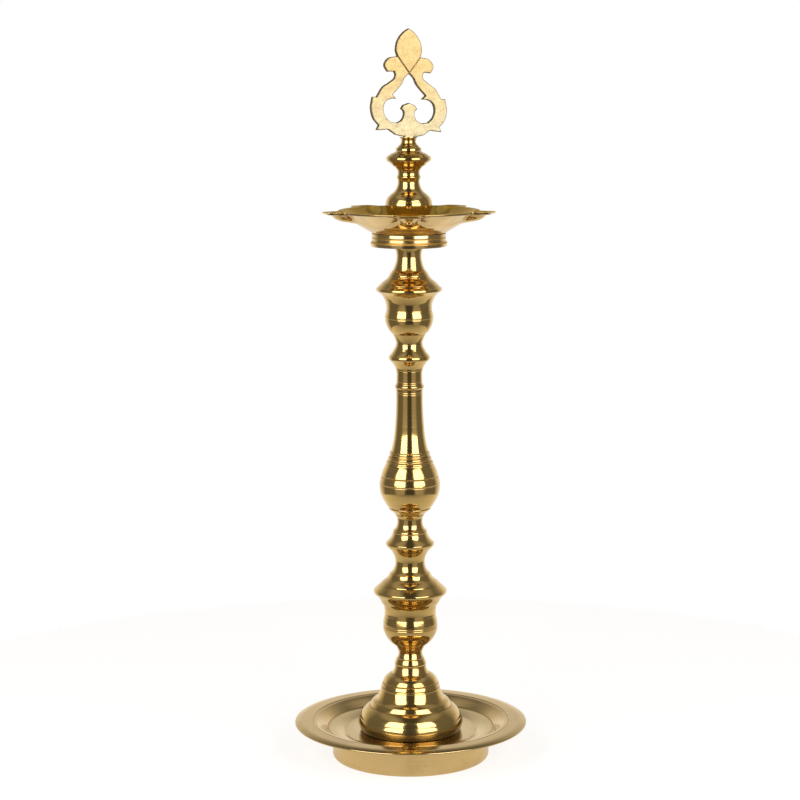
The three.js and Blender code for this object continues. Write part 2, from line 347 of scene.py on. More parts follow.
class Surface:
    """Coordinates and patterns on a piece, in millimetres, which stay with the piece as it moves."""

    def __init__(self, name):
        self.material = bpy.data.materials.new(name)
        self.material.use_nodes = True
        self.tree = self.material.node_tree
        self.shader = self.tree.nodes["Principled BSDF"]
        coordinates = add_node(self.tree, "TexCoord")
        self.facing = coordinates.outputs["Normal"]
        place = coordinates.outputs["Object"]
        scaled = add_node(self.tree, "VectorMath", {0: place, "Scale": 1 / MM}, operation="SCALE")
        self.place = scaled.outputs["Vector"]
        split = add_node(self.tree, "SeparateXYZ", {"Vector": self.place})
        x, y, self.height = split.outputs
        flat = add_node(self.tree, "CombineXYZ", {"X": x, "Y": y})
        length = add_node(self.tree, "VectorMath", {0: flat.outputs[0]}, operation="LENGTH")
        self.radius = length.outputs["Value"]
        self.angle = maths(self.tree, "ARCTAN2", y, x)
        self.relief = add_node(self.tree, "Attribute", attribute_name="relief").outputs["Fac"]

    def rings(self, scale, detail=4.0):
        """Noise that is the same all the way round, as a lathe tool leaves it."""
        profile = add_node(self.tree, "CombineXYZ", {"X": self.radius, "Y": self.height})
        return noise(self.tree, profile.outputs[0], scale, detail, 0.65)

    def smears(self, scale):
        """Noise drawn out round the piece, as a polishing mop leaves it."""
        millimetres_in_radian = 3.0
        turn = maths(self.tree, "MULTIPLY", self.angle, millimetres_in_radian)
        swept = add_node(self.tree, "CombineXYZ", {"X": turn, "Y": self.radius, "Z": self.height})
        return noise(self.tree, swept.outputs[0], scale, 4.0, 0.6)

    def finished(self, colour, roughness, normal):
        """The material, as bare metal with this colour, roughness and normal."""
        self.tree.links.new(colour, self.shader.inputs["Base Color"])
        self.tree.links.new(roughness, self.shader.inputs["Roughness"])
        self.tree.links.new(normal, self.shader.inputs["Normal"])
        self.shader.inputs["Metallic"].default_value = 1.0
        return self.material


def painted_pan_reflection(surface):
    """Painted reflection: where the pan's upward faces are coloured a deeper gold, for light bounced round
    inside the pan.
    """
    upwards = add_node(surface.tree, "SeparateXYZ", {"Vector": surface.facing}).outputs["Z"]
    return spread(surface.tree, upwards, 0.1, 0.5)


def painted_shade_under_foot(surface):
    """Painted shade: where the pedestal's rolled foot is coloured dark, from under the roll down to the tray.
    """
    unshaded_above, shaded_below = 29, 28
    return spread(surface.tree, surface.height, unshaded_above, shaded_below)


def painted_sheen_round_pedestal(surface):
    """Painted sheen: where the tray's middle, round the pedestal, is coloured paler, for the backdrop
    reflected in it.
    """
    plain_outside, pale_inside = 72, 58
    return spread(surface.tree, surface.radius, plain_outside, pale_inside)


def brass(name, colour, stain, roughness, stained=0.25, wave_depth=0.02, anisotropy=0.0, painted_tone=None):
    """Brass with turning lines, mop marks, stains that gather in the grooves and bright worn edges.

    The last argument, when given, is (where, colour, extra roughness): a part of the surface painted another
    colour for light and shade there, and made rougher.
    """
    surface = Surface(name)
    tree = surface.tree
    fine = surface.rings(2.6)
    broad = surface.rings(0.35, 2.0)
    smears = surface.smears(0.22)
    clouds = noise(tree, surface.place, 0.05, 4.0, 0.6)
    specks = noise(tree, surface.place, 1.6, 2.0, 0.5)

    # Noise averages 0.5, so these ranges set how much of the surface each pattern covers.
    groove = spread(tree, surface.relief, -0.08, -0.6)
    edge = spread(tree, surface.relief, 0.3, 1.0)
    cloud_share = spread(tree, clouds, 0.46, 0.74, 0.0, stained)
    smear_share = spread(tree, smears, 0.48, 0.75, 0.0, stained * 0.8)
    speck_share = spread(tree, specks, 0.66, 0.78, 0.0, stained * 0.5)
    share = maths(tree, "ADD", maths(tree, "ADD", cloud_share, smear_share), speck_share)
    share = maths(tree, "ADD", share, maths(tree, "MULTIPLY", groove, 0.75))
    share = maths(tree, "MINIMUM", maths(tree, "SUBTRACT", share, maths(tree, "MULTIPLY", edge, 0.2)), 0.9)
    base = blended(tree, maths(tree, "MAXIMUM", share, 0.0), colour, stain)

    rough = maths(tree, "ADD", spread(tree, fine, 0.3, 0.7, -0.03, 0.05), roughness)
    rough = maths(tree, "ADD", rough, maths(tree, "MULTIPLY", share, 0.22))
    # Painted light and shade: another colour, and more roughness, on the part given.
    if painted_tone:
        where, painted_colour, extra = painted_tone
        painted_share = maths(tree, "MULTIPLY", where(surface), spread(tree, clouds, 0.3, 0.6, 0.75, 1))
        base = blended(tree, painted_share, base, painted_colour)
        rough = maths(tree, "ADD", rough, maths(tree, "MULTIPLY", painted_share, extra))
    normal = bumps(tree, broad, wave_depth, under=bumps(tree, fine, LATHE_LINE))
    if anisotropy:
        tangent = add_node(tree, "Tangent", direction_type="RADIAL", axis="Z")
        surface.shader.inputs["Anisotropic"].default_value = anisotropy
        tree.links.new(tangent.outputs[0], surface.shader.inputs["Tangent"])
    return surface.finished(base, rough, normal)


def filed_brass(name, leaf, foot, stain, edge_shade, roughness, yaw):
    """Flat brass plate, filed along its height: warm at the leaf, paler at the foot, with its edges painted
    dark as shade.
    """
    leaf_height, foot_height = 578, 524
    scratch_depth, hollow_depth = 0.01, 0.5
    drawn_out = (1.0, 1.0, 0.12)  # stretches the scratches upwards
    surface = Surface(name)
    tree = surface.tree
    place = unturned(tree, surface.place, yaw)
    drawn = add_node(tree, "VectorMath", {0: place, 1: drawn_out}, operation="MULTIPLY")
    scratches = noise(tree, drawn.outputs[0], 2.2, 5.0, 0.7)
    hollows = noise(tree, surface.place, 0.11, 2.0, 0.5)
    clouds = noise(tree, surface.place, 0.09, 4.0, 0.6)

    # Painted reflection: the tone turns lighter and paler towards the foot.
    tone = blended(tree, spread(tree, surface.height, leaf_height, foot_height), leaf, foot)
    cloud_share = spread(tree, clouds, 0.45, 0.72, 0.0, 0.3)
    scratch_share = spread(tree, scratches, 0.6, 0.8, 0.0, 0.25)
    base = blended(tree, maths(tree, "ADD", cloud_share, scratch_share), tone, stain)
    # Painted shade: the faces that look sideways, the plate's edges, are coloured dark.
    across = add_node(tree, "SeparateXYZ", {"Vector": unturned(tree, surface.facing, yaw)}).outputs["Y"]
    edge = spread(tree, maths(tree, "ABSOLUTE", across), 0.85, 0.5)
    base = blended(tree, edge, base, edge_shade)

    rough = maths(tree, "ADD", spread(tree, scratches, 0.3, 0.7, -0.05, 0.1), roughness)
    normal = bumps(tree, hollows, hollow_depth, under=bumps(tree, scratches, scratch_depth))
    return surface.finished(base, rough, normal)


def zinc(name):
    """Zinc-plated steel with a mottled bloom."""
    surface = Surface(name)
    tree = surface.tree
    bloom = noise(tree, surface.place, 0.45, 4.0, 0.65)
    grit = noise(tree, surface.place, 3.0, 3.0, 0.6)
    bright, tarnished = (0.62, 0.63, 0.64), (0.42, 0.41, 0.38)
    base = blended(tree, spread(tree, bloom, 0.4, 0.68), bright, tarnished)
    rough = spread(tree, grit, 0.3, 0.7, 0.32, 0.52)
    return surface.finished(base, rough, bumps(tree, grit, 0.03, strength=0.6))


LATHE_LINE = 0.004  # depth of the finest turning lines
BRIGHT = (0.72, 0.50, 0.185)
STAIN = (0.40, 0.23, 0.075)
column_brass = brass("column_brass", BRIGHT, STAIN, 0.08, stained=0.3, anisotropy=0.25)
pedestal_brass = brass(
    "pedestal_brass",
    BRIGHT,
    STAIN,
    0.08,
    stained=0.3,
    anisotropy=0.25,
    # painted shade: dark colour under the pedestal's rolled foot
    painted_tone=(painted_shade_under_foot, (0.22, 0.15, 0.06), 0.15),
)
tray_brass = brass(
    "tray_brass",
    (0.73, 0.53, 0.24),
    STAIN,
    0.1,
    stained=0.22,
    wave_depth=0.04,
    anisotropy=0.3,
    # painted sheen: paler colour on the tray's middle
    painted_tone=(painted_sheen_round_pedestal, (0.88, 0.69, 0.37), 0.05),
)
# Painted light: a brighter copy of the brass for the foot ring, for the lit table reflected in it.
foot_brass = brass("foot_brass", (0.90, 0.64, 0.29), STAIN, 0.2, stained=0.25, wave_depth=0.05)
pan_brass = brass(
    "pan_brass",
    (0.72, 0.52, 0.24),
    STAIN,
    0.1,
    stained=0.3,
    # painted reflection: deeper gold on the pan's upward faces
    painted_tone=(painted_pan_reflection, (0.74, 0.48, 0.08), 0.4),
)
thread_brass = brass("thread_brass", (0.60, 0.41, 0.17), (0.26, 0.15, 0.05), 0.32, stained=0.5)
plate_brass = filed_brass(
    "plate_brass",
    leaf=(0.53, 0.385, 0.175),
    foot=(0.56, 0.485, 0.31),
    stain=(0.45, 0.33, 0.145),
    # painted shade on the plate's edges
    edge_shade=(0.12, 0.08, 0.025),
    roughness=0.42,
    yaw=PLATE_YAW,
)
steel = zinc("zinc_steel")

# ---------------------------------------------------------------- base


def build_tray():
    """The dished tray: a flat floor, an ogee wall, a scribed ring and a crowned lip."""
    under, top = heights("base_tray")
    floor = under + 2.2
    rim, groove, foot = 98, 82.8, 62  # radii of the lip, the scribed ring and the wall's foot
    outer = [
        (BORE, under),
        (foot + 5, under),
        (groove - 1, top - 2.7, -0.5),
        (rim - 7, top - 2.3),
        (rim - 0.9, top - 3.0, 0.3),
        (rim - 0.1, top - 2.4, 0.15),
        (rim - 0.2, top - 1.5, 0.1),
        (rim - 7, top - 0.1, 0.3),
        (groove + 0.5, top),
        (groove, top - 0.6),
        (groove - 0.5, top - 0.1),
        (groove - 3, top - 0.5, -0.05),
        (foot + 8, floor + 2.3, 0.5),
        (foot - 6, floor, 0.5),
    ]
    turned("base_tray", outer, [(BORE, floor)], tray_brass, "tray")


def build_foot_ring():
    """The straight ring under the tray, with its lower edge broken and a fine step above it."""
    low, high = heights("foot_ring")
    radius, inside = 66.1, 62.8
    outer = [
        (inside, low + 0.5),
        (inside + 0.5, low),
        (radius - 1.1, low),
        (radius - 0.2, low + 1.1),
        (radius - 0.2, low + 1.6),
        (radius, low + 2),
        (radius, high),
    ]
    turned("foot_ring", outer, [(inside, high)], foot_brass, "tray", rounding=0.25)


def build_pedestal():
    """The domed pedestal: a rolled foot, a stepped ledge, a drum and a beaded shoulder."""
    low, high = heights("pedestal_dome")
    outer = [
        (41.9, low),
        (44.3, 28.8, 0.15),
        (43.1, 33.2, 0.1),
        (42.8, 33.7),
        (42.7, 34.1),
        (39.4, 40, 0.5),
        (34.8, 43.2, 0.3),
        (34.3, 43.5),
        (33, 46.4, 0.1),
        (31.4, 47.9, 0.25),
        (28.6, 50.3, -0.25),
        (24.8, 58.3, -0.35),
        (24.7, 59.6),
        (24.3, 61, 0.05),
        (21.6, 67, 0.3),
        (17.6, 70.2, 0.35),
        (16, 70.8),
        (13.1, 76.6, -0.35),
        (12.9, 77.8),
        (13.3, 78.4, 0.1),
        (13.2, 80, 0.1),
        (12.7, 81.2, 0.1),
        (10.7, 85.4, 0.2),
        (9.7, high, -0.1),
    ]
    lines = [(58.2, 0.8, -0.15), (59.4, 1.3, 0.4), (63.2, 1.5, 0.45), (77.6, 0.8, 0.25), (84, 1.1, 0.4)]
    inner = [
        (BORE + 0.4, high),
        (BORE, high - 0.4),
        (BORE, low),
        (13, low),
        (13.5, 56),
        (20.5, 56, 3.0),
        (22, 46, 0.8),
        (33, 39, -0.6),
        (38.5, 32, 1.0),
        (38.5, low),
    ]
    turned("pedestal_dome", outer, inner, pedestal_brass, "dome", lines)


def build_washer():
    """A flat plate washer, as wide as its CAD node."""
    low, high = heights("base_washer")
    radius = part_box("base_washer")[1].x / MM
    outer = [(BORE, low), (radius, low), (radius, high)]
    turned("base_washer", outer, [(BORE, high)], steel, "small")


def thread_radius(crest):
    """A shape for spin: a right-hand screw thread that the outline's own ends still chamfer."""
    crest_flat = 1.25  # more than 1 leaves a flat along the top of the thread

    def shape(radius, height, angle):
        phase = (height / PITCH - angle / (2 * math.pi)) % 1
        ridge = 1 - abs(2 * phase - 1)
        cut = crest - THREAD_DEPTH * (1 - min(1, ridge * crest_flat))
        return min(radius, cut) if radius > crest - THREAD_DEPTH else radius

    return shape


def rod(low, high, radius, chamfer=0.9):
    """Outline of a rod from axis to axis, with points close enough to carry a thread."""
    steps = math.ceil((high - low - 2 * chamfer) / (PITCH / 10))
    sides = [low + chamfer + (high - low - 2 * chamfer) * i / steps for i in range(steps + 1)]
    ends = [Vector((0, low)), Vector((radius - chamfer, low))]
    tops = [Vector((radius - chamfer, high)), Vector((0, high))]
    return ends + [Vector((radius, height)) for height in sides] + tops


def build_stud(node):
    """A stud threaded from end to end."""
    low, high = heights(node)
    mesh = spin(rod(low, high, STUD), AROUND["small"], thread_radius(STUD))
    add_piece(node, mesh_data(node, mesh), thread_brass, sharp_angle=math.radians(50))


def build_bolt():
    """Hexagon bolt under the tray: a chamfered head and a threaded shank."""
    low, high = heights("base_bolt")
    half_x, half_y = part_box("base_bolt")[1].xy / MM
    flat, point = sorted((half_x, half_y))
    head_top = heights("base_washer")[0] - 0.15
    crest = STUD - 0.1
    shank = rod(head_top, high, crest)[2:]
    head = [
        Vector((0, low)),
        Vector((flat - 0.6, low)),
        Vector((point, low + 1.6)),
        Vector((point, head_top - 0.05)),
        Vector((STUD + 0.4, head_top)),
    ]
    thread = thread_radius(crest)
    turned_by = 0 if half_x > half_y else math.pi / 6

    def shape(radius, height, angle):
        if height > head_top:
            return thread(radius, height, angle)
        around_flat = (angle - turned_by) % (math.pi / 3) - math.pi / 6
        return min(radius, flat / math.cos(around_flat))

    mesh = spin(head + shank, 3 * AROUND["small"], shape)
    add_piece("base_bolt", mesh_data("bolt", mesh), steel, sharp_angle=math.radians(25))


build_tray()
build_foot_ring()
build_pedestal()
build_washer()
build_bolt()

# ---------------------------------------------------------------- column


def column_section(node, mouldings, core, lines):
    """A cored section of the column, between the seams above and below it."""
    low, high = heights(node)
    first, *middle, last = mouldings
    outer = [(first, low), *middle, (last, high)]
    inner = [(BORE + 0.5, high), (BORE, high - 0.5), *core, (BORE, low + 0.5), (BORE + 0.5, low)]
    turned(node, outer, inner, column_brass, "column", lines)


def build_lower_vase():
    """An egg cup under a wide disc, then a flared collar."""
    mouldings = [
        9.7,
        (10.5, 91.2, 0.1),
        (10.8, 91.9),
        (14.2, 96.3, -0.4),
        (19.4, 101.6, 0.35),
        (22.8, 109.3, 0.4),
        (22.8, 115.8, 0.1),
        (21.9, 119.6),
        (21.7, 121.6, -0.1),
        (22.2, 129.3, -0.3),
        (23.8, 132.2, -0.1),
        (24.4, 132.7),
        (26.4, 136.4, -0.1),
        (26.9, 136.9),
        (30.2, 140.3, -0.2),
        (30.5, 143.1, 0.35),
        (29.4, 144.2),
        (25.5, 147.6, 0.1),
        (24.7, 148.7, -0.1),
        (21.4, 151.6, 0.15),
        (18.2, 154.7, -0.3),
        (17.9, 155.2),
        (17, 157.1),
        (16.3, 157.7),
        (12.5, 164.4, -0.7),
        (12.5, 169.8, -0.2),
        (16.7, 177.8, -0.6),
        (19.4, 180.6),
        (19.9, 181.5, 0.1),
        (20.1, 183.4, 0.2),
        (19.3, 184.3),
        (14.5, 191.2, -0.5),
        (14.1, 191.9),
        (13.7, 194.2, 0.4),
        (13.1, 194.6),
        (10.6, 199.6, -0.4),
        (10.6, 204.6, -0.1),
        12.2,
    ]
    core = [
        (BORE, 193.5),
        (8, 190),
        (12, 183, -1),
        (8, 174, -1),
        (8, 158),
        (16, 140, 1),
        (15.5, 109, 1),
        (BORE, 103.5, 1),
    ]
    lines = [(111.4, 0.8, 0.25), (113, 0.8, 0.25)]
    column_section("lower_vase", mouldings, core, lines)


def build_middle_baluster():
    """A ringed bulb that tapers into a long neck."""
    mouldings = [
        12.2,
        (16.6, 211.6, -0.2),
        (17.3, 212.3),
        (17.6, 213.6, 0.25),
        (20.8, 218.2, 0.2),
        (24.7, 226.8, 0.4),
        (25.1, 233, 0.15),
        (25, 235.8, 0.1),
        (23.8, 240.4, 0.12),
        (19.9, 250.2, 0.5),
        (19.7, 251.2),
        (19.4, 252.6, 0.2),
        (18.5, 253.2),
        (18.1, 254.4),
        (18, 256, 0.2),
        (17, 256.6),
        (16.7, 258.6),
        (16.6, 260.4, 0.2),
        (15.7, 261),
        (15.3, 262.2),
        (12.1, 282, -0.55),
        (11, 306, -0.25),
        (10.9, 313.4),
        (11.8, 314.8, -0.1),
        (11.8, 316.6, 0.25),
        (10.8, 318.2, -0.1),
        (10.5, 326.5),
        10.9,
    ]
    core = [
        (BORE, 314),
        (7, 296, -0.5),
        (11, 258, -1),
        (18.5, 240, 1.5),
        (18, 227, 1.5),
        (BORE, 222.5, 1),
    ]
    lines = [
        (233.2, 0.7, 0.2),
        (234.4, 0.9, -0.25),
        (240.2, 1.5, 0.45),
        (309.6, 0.7, 0.18),
        (311.2, 0.7, 0.18),
        (319.6, 0.6, 0.15),
    ]
    column_section("middle_baluster", mouldings, core, lines)


def build_upper_vase():
    """A flared cup, a round bulb under a thin disc, and the neck that carries the pan."""
    mouldings = [
        10.9,
        (11.3, 331, 0.1),
        (13.3, 334.6, -0.1),
        (16, 337.6, -0.15),
        (16.7, 338.4),
        (16.8, 341.2, 0.3),
        (16.1, 342),
        (12.5, 347.3, -0.2),
        (10.7, 351.8, -0.2),
        (13.7, 359.8, -0.3),
        (14.7, 360.7),
        (17.6, 364.6, 0.2),
        (20, 372, 0.4),
        (20, 374.4, 0.1),
        (18.9, 379, 0.15),
        (19, 384, -0.15),
        (20.4, 388.4, -0.15),
        (23.4, 393.2, -0.3),
        (27.2, 395.9),
        (27.3, 396.9, 0.05),
        (27.1, 397.9, 0.05),
        (25.4, 399.2),
        (19.8, 404.4, 0.3),
        (19, 405),
        (16.1, 409.2, -0.3),
        (15.5, 409.9),
        (13.4, 412.7, 0.15),
        (10.3, 422.6, -0.5),
        (10.5, 427.5, -0.15),
        (12.7, 433, -0.2),
        12.7,
    ]
    core = [
        (BORE, 414),
        (9, 408, -0.6),
        (17, 396, 1),
        (14, 384, -0.6),
        (14, 366, 1),
        (6.5, 352, -0.6),
        (BORE, 343.5),
    ]
    lines = [(372.8, 0.8, 0.2), (374.2, 0.9, -0.2), (401, 0.7, 0.15)]
    column_section("upper_vase", mouldings, core, lines)


for stud in ("lower_stud", "middle_stud", "upper_stud", "pan_stud", "finial_stud"):
    build_stud(stud)
build_lower_vase()
build_middle_baluster()
build_upper_vase()

# ---------------------------------------------------------------- oil pan

SPOUTS = 5
PAN_SECTIONS = 60  # sections through each fifth of the pan
SECTION_SPACING = 0.28  # how far apart they are at a spout's middle, where 1 is an even spread
WALL_STEPS = 34  # rings of mesh up the pan's wall
PAN_FLOOR = 443.5  # height of the floor's underside
PAN_FOOT = 30.5  # radius where the cone leaves the floor
PAN_RIM = 58.5
PAN_SLOPE = 1 / 1.5
PAN_BOSS = 10.98  # radius of the boss under the floor
PAN_STEM = 9  # radius of the boss over the floor, inside the finial
WALL = 2.2
LIP = 1.7  # thickness of the rim's edge
SPOUT_TIP = 71.8
SPOUT_HALF_WIDTH = 10.3  # where a spout leaves the rim
SPOUT_TAPER = 0.08
TIP_ROUND, RIM_FILLET = 7, 8  # how far a spout's corners are eased, at its tip and at the rim
KEEL_ROOT, KEEL_RISE, KEEL_SLOPE = 43, 8.2, 0.174  # the underside of a spout, above the pan's floor
NOSE_FROM, NOSE_TO, NOSE_RISE = 57, 67.5, 7.5  # where it curls up to the spout's lip
TROUGH_RISE, TROUGH_CURVE = 9, 2.5  # how it climbs from the keel to the spout's sides
FINIAL_HOLLOW = 12  # depth of the hollow under the finial, which takes the boss


def clamped(value):
    """The value, kept between 0 and 1."""
    return max(0, min(1, value))


def smooth_min(first, second, reach):
    """The lesser of two values, with the change from one to the other eased over a reach."""
    near = max(reach - abs(first - second), 0) / reach
    return min(first, second) - near * near * reach / 4


def rim_radius(angle):
    """The rim in plan, for an angle from a spout's middle: a circle with blunt tongues."""
    side = (SPOUT_HALF_WIDTH + SPOUT_TAPER * PAN_RIM) / (abs(math.sin(angle)) + SPOUT_TAPER * math.cos(angle))
    tongue = smooth_min(SPOUT_TIP / math.cos(angle), side, TIP_ROUND)
    return -smooth_min(-PAN_RIM, -tongue, RIM_FILLET)


def pressed_wedge(along, across):
    """How far pressing a spout leaves the cone proud: a wedge that widens inwards and fades out."""
    depth, edge = 0.8, 2.5
    fades_at, fade = 33, 8
    root, root_half_width, widening = 49, 9, 0.95
    half_width = root_half_width + widening * (root - along)
    return depth * clamped((half_width - abs(across)) / edge) * clamped((along - fades_at) / fade)


def wall_underside(along, across, top):
    """Height of the wall's underside at a point along and across a spout."""
    crease = 1.2  # how far the meeting of cone and spout is eased
    cone = PAN_FLOOR + (math.hypot(along, across) - PAN_FOOT) * PAN_SLOPE
    curl = clamped((along - NOSE_FROM) / (NOSE_TO - NOSE_FROM))
    nose = NOSE_RISE * (1 - math.sqrt(1 - curl * curl))
    keel = PAN_FLOOR + KEEL_RISE + KEEL_SLOPE * (along - KEEL_ROOT) + nose
    trough = keel + TROUGH_RISE * abs(across / SPOUT_HALF_WIDTH) ** TROUGH_CURVE
    return min(smooth_min(cone - pressed_wedge(along, across), trough, crease), top)


def pan_loop(turn, bottom, boss_top, rim_top):
    """One section through the pan as (radius, height), at an angle round from the front."""
    pitch = 2 * math.pi / SPOUTS
    angle = turn - pitch * round(turn / pitch)
    rim = rim_radius(angle)
    wall_top = rim - 0.5
    floor = PAN_FLOOR + WALL

    def under(radius):
        return wall_underside(radius * math.cos(angle), radius * math.sin(angle), rim_top - LIP)

    steps = [i / WALL_STEPS for i in range(WALL_STEPS + 1)]
    outside = [PAN_FOOT + (wall_top - PAN_FOOT) * s for s in steps]
    inside = [PAN_FOOT + (wall_top - PAN_FOOT) * (1 - s) for s in steps]
    edge_low = under(wall_top)
    edge_high = min(edge_low + WALL, rim_top)
    return [
        (BORE, bottom),
        (PAN_BOSS - 0.4, bottom),
        (PAN_BOSS, bottom + 0.4),
        (PAN_BOSS, PAN_FLOOR - 0.6),
        (PAN_BOSS + 0.6, PAN_FLOOR),
        (PAN_FOOT - 6, PAN_FLOOR),
        *[(radius, under(radius)) for radius in outside],
        (rim - 0.3, edge_low + 0.1),
        (rim - 0.15, edge_low + 0.5),
        (rim, edge_high - 0.4),
        (rim - 0.12, edge_high - 0.1),
        *[(radius, min(under(radius) + WALL, rim_top)) for radius in inside],
        (PAN_FOOT - 6, floor),
        (PAN_STEM + 1, floor),
        (PAN_STEM + 0.2, floor + 0.8),
        (PAN_STEM, floor + 2),
        (PAN_STEM, boss_top - 0.5),
        (PAN_STEM - 0.5, boss_top),
        (BORE + 0.4, boss_top),
        (BORE, boss_top - 0.4),
    ]


def pan_turn(place):
    """Angle of a section, closer together at the spouts; whole numbers are the spouts' middles."""
    near = place - round(place)
    spacing = SECTION_SPACING + (1 - SECTION_SPACING) * (2 * near) ** 2
    return 2 * math.pi / SPOUTS * (round(place) + near * spacing)


def build_pan():
    """The pan, as a skin over sections that stand all round it; the first spout faces the front."""
    bottom, rim_top = heights("oil_pan")
    boss_top = heights("finial_base")[0] + FINIAL_HOLLOW - 0.7
    mesh = bmesh.new()
    sections = []
    for i in range(SPOUTS * PAN_SECTIONS):
        turn = pan_turn(i / PAN_SECTIONS)
        facing = turn - math.pi / 2
        loop = pan_loop(turn, bottom, boss_top, rim_top)
        places = [(r * math.cos(facing) * MM, r * math.sin(facing) * MM, z * MM) for r, z in loop]
        sections.append([mesh.verts.new(place) for place in places])
    for i, here in enumerate(sections):
        there = sections[(i + 1) % len(sections)]
        for j in range(len(here)):
            k = (j + 1) % len(here)
            mesh.faces.new((here[j], there[j], there[k], here[k]))
    bmesh.ops.recalc_face_normals(mesh, faces=mesh.faces)
    add_piece("oil_pan", mesh_data("pan", mesh), pan_brass)


def build_pan_ring():
    """The ring under the pan: a flared lip at its foot, a groove and a bead."""
    low, high = heights("pan_foot_ring")
    outer = [
        (PAN_FOOT - 2, low),
        (PAN_FOOT + 0.7, low),
        (PAN_FOOT + 1.2, low + 2.6),
        (PAN_FOOT + 0.9, low + 3.1, 0.1),
        (PAN_FOOT + 0.1, low + 3.9, -0.2),
        (PAN_FOOT, low + 6.6),
        (PAN_FOOT - 0.3, low + 7),
        (PAN_FOOT - 0.3, low + 7.7),
        (PAN_FOOT + 0.15, low + 8.1),
        (PAN_FOOT, high),
    ]
    inner = [(PAN_FOOT - 2.4, high), (PAN_FOOT - 2.4, low + 0.4)]
    turned("pan_foot_ring", outer, inner, pan_brass, "dome", rounding=0.25)


build_pan()
build_pan_ring()

# ---------------------------------------------------------------- finial

PLATE_TANG = 4  # half the width of the plate's tang


def build_finial_base():
    """An undercut bulb, hollow over the pan's boss, a beaded waist, and a lens-shaped disc."""
    low, high = heights("finial_base")
    outer = [
        (14.5, low),
        (14.3, 449, 0.4),
        (13, 449.8),
        (12.2, 452, -0.3),
        (19.2, 467.5, 2),
        (15.5, 474.4, 0.9),
        (14.8, 475.2),
        (10, 480.8, -0.7),
        (8.8, 485.4, -0.2),
        (9.7, 488.6, -0.1),
        (9.6, 489.8, 0.2),
        (8.9, 492.3, -0.2),
        (9.6, 495.4, -0.2),
        (13.3, 498.6, -0.3),
        (16, 501.2, -0.1),
        (18, 502.5, 0.1),
        (18.5, 504.2, 0.15),
        (18.1, 505.6, 0.15),
        (16.6, 506.7, 0.1),
        (12, 509.2, 0.3),
        (10.6, high - 0.2, -0.1),
        (10.4, high),
    ]
    roof, hollow = low + FINIAL_HOLLOW, 10
    inner = [(BORE + 0.4, high), (BORE, high - 0.4), (BORE, roof), (hollow, roof), (hollow, low)]
    lines = [(469.2, 0.7, 0.15)]
    turned("finial_base", outer, inner, column_brass, "column", lines)


def build_finial_neck():
    """The beaded collar and neck, with a peg below and a slot above for the plate's tang."""
    low, high = heights("finial_neck")
    seat = heights("finial_base")[1] + 0.3
    points = outline([
        (0, low),
        (5, low),
        (5, seat),
        (10.4, seat),
        (10.6, seat + 0.7, 0.15),
        (10, 513, 0.2),
        (8, 514.9, -0.2),
        (6, 517.4, -0.3),
        (5.9, 519.6, -0.1),
        (7.2, high - 0.7, -0.1),
        (7.3, high, 0.1),
        (0, high),
    ])
    neck = mesh_data("neck", spin(softened(points, EDGE_ROUND), 2 * AROUND["small"]))
    slot_low = heights("finial_plate")[0] - 0.3
    wide, deep = PLATE_TANG + 0.3, 2.8
    corners = [(-wide, -deep), (wide, -deep), (wide, deep), (-wide, deep)]
    places = [Vector((x, y, z)) for z in (slot_low, high + 5) for x, y in corners]
    slot = block([Matrix.Rotation(PLATE_YAW, 3, "Z") @ place * MM for place in places])
    add_piece("finial_neck", cut_away(neck, slot), column_brass, sharp_angle=math.radians(40))


# Half outlines of the plate as (distance from its middle, height); each stroke is one smooth curve.
PLATE_EDGE = [
    [(0, 515.6), (PLATE_TANG, 515.6)],
    [(PLATE_TANG, 522.3), (7.1, 522.3)],
    [(11.9, 523.3), (15.5, 525.7), (18.6, 527.4), (22.9, 526.9), (28.2, 526.6)],
    [(26.3, 530.5), (31, 536), (32.9, 544.3), (31.4, 553.4)],
    [(27.9, 553.4), (22.9, 561.3), (17.3, 565.2), (12.7, 568.8), (11.8, 572), (13, 574.4)],
    [(18.6, 574), (21.1, 578.4), (20, 582.4), (16.4, 585.5), (9.9, 586.6)],
    [(11.3, 591.2), (10.4, 597.4), (7.8, 602.6), (4, 606.8), (0, 609.4)],
]
PLATE_OPENING = [
    [(0, 573.4), (3.9, 569.5), (7, 563.6), (14.4, 555.6)],
    [(11.1, 552.5), (16, 552.3), (20.6, 549.6), (22.3, 544), (20.8, 538.2), (16.6, 533.8)],
    [(10.8, 532.9), (6.6, 535.3), (4.6, 539), (4.8, 542.4), (6.9, 544.5)],
    [(5, 547.5), (0, 549.4)],
]
PLATE_SKEW = 0.045  # the plate was cut a little out of square
STROKE_STEPS = 6  # points between two corners of a curve


def smooth_stroke(corners):
    """Points of a Catmull-Rom curve through the corners; two corners make a straight stroke."""
    corners = [Vector(corner) for corner in corners]
    if len(corners) == 2:
        return corners
    padded = [2 * corners[0] - corners[1], *corners, 2 * corners[-1] - corners[-2]]
    points = []
    for a, b, c, d in zip(padded, padded[1:], padded[2:], padded[3:]):
        for i in range(STROKE_STEPS):
            s = i / STROKE_STEPS
            bend = (2 * a - 5 * b + 4 * c - d) * s * s + (3 * b - a - 3 * c + d) * s ** 3
            points.append((2 * b + (c - a) * s + bend) / 2)
    return points + [corners[-1]]


def mirrored(strokes):
    """The closed outline whose right half is these strokes, a little out of square."""
    half = [point for stroke in strokes for point in smooth_stroke(stroke)]
    other = [Vector((-point.x, point.y)) for point in reversed(half[1:-1])]
    return [Vector((point.x, point.y - PLATE_SKEW * point.x)) for point in half + other]


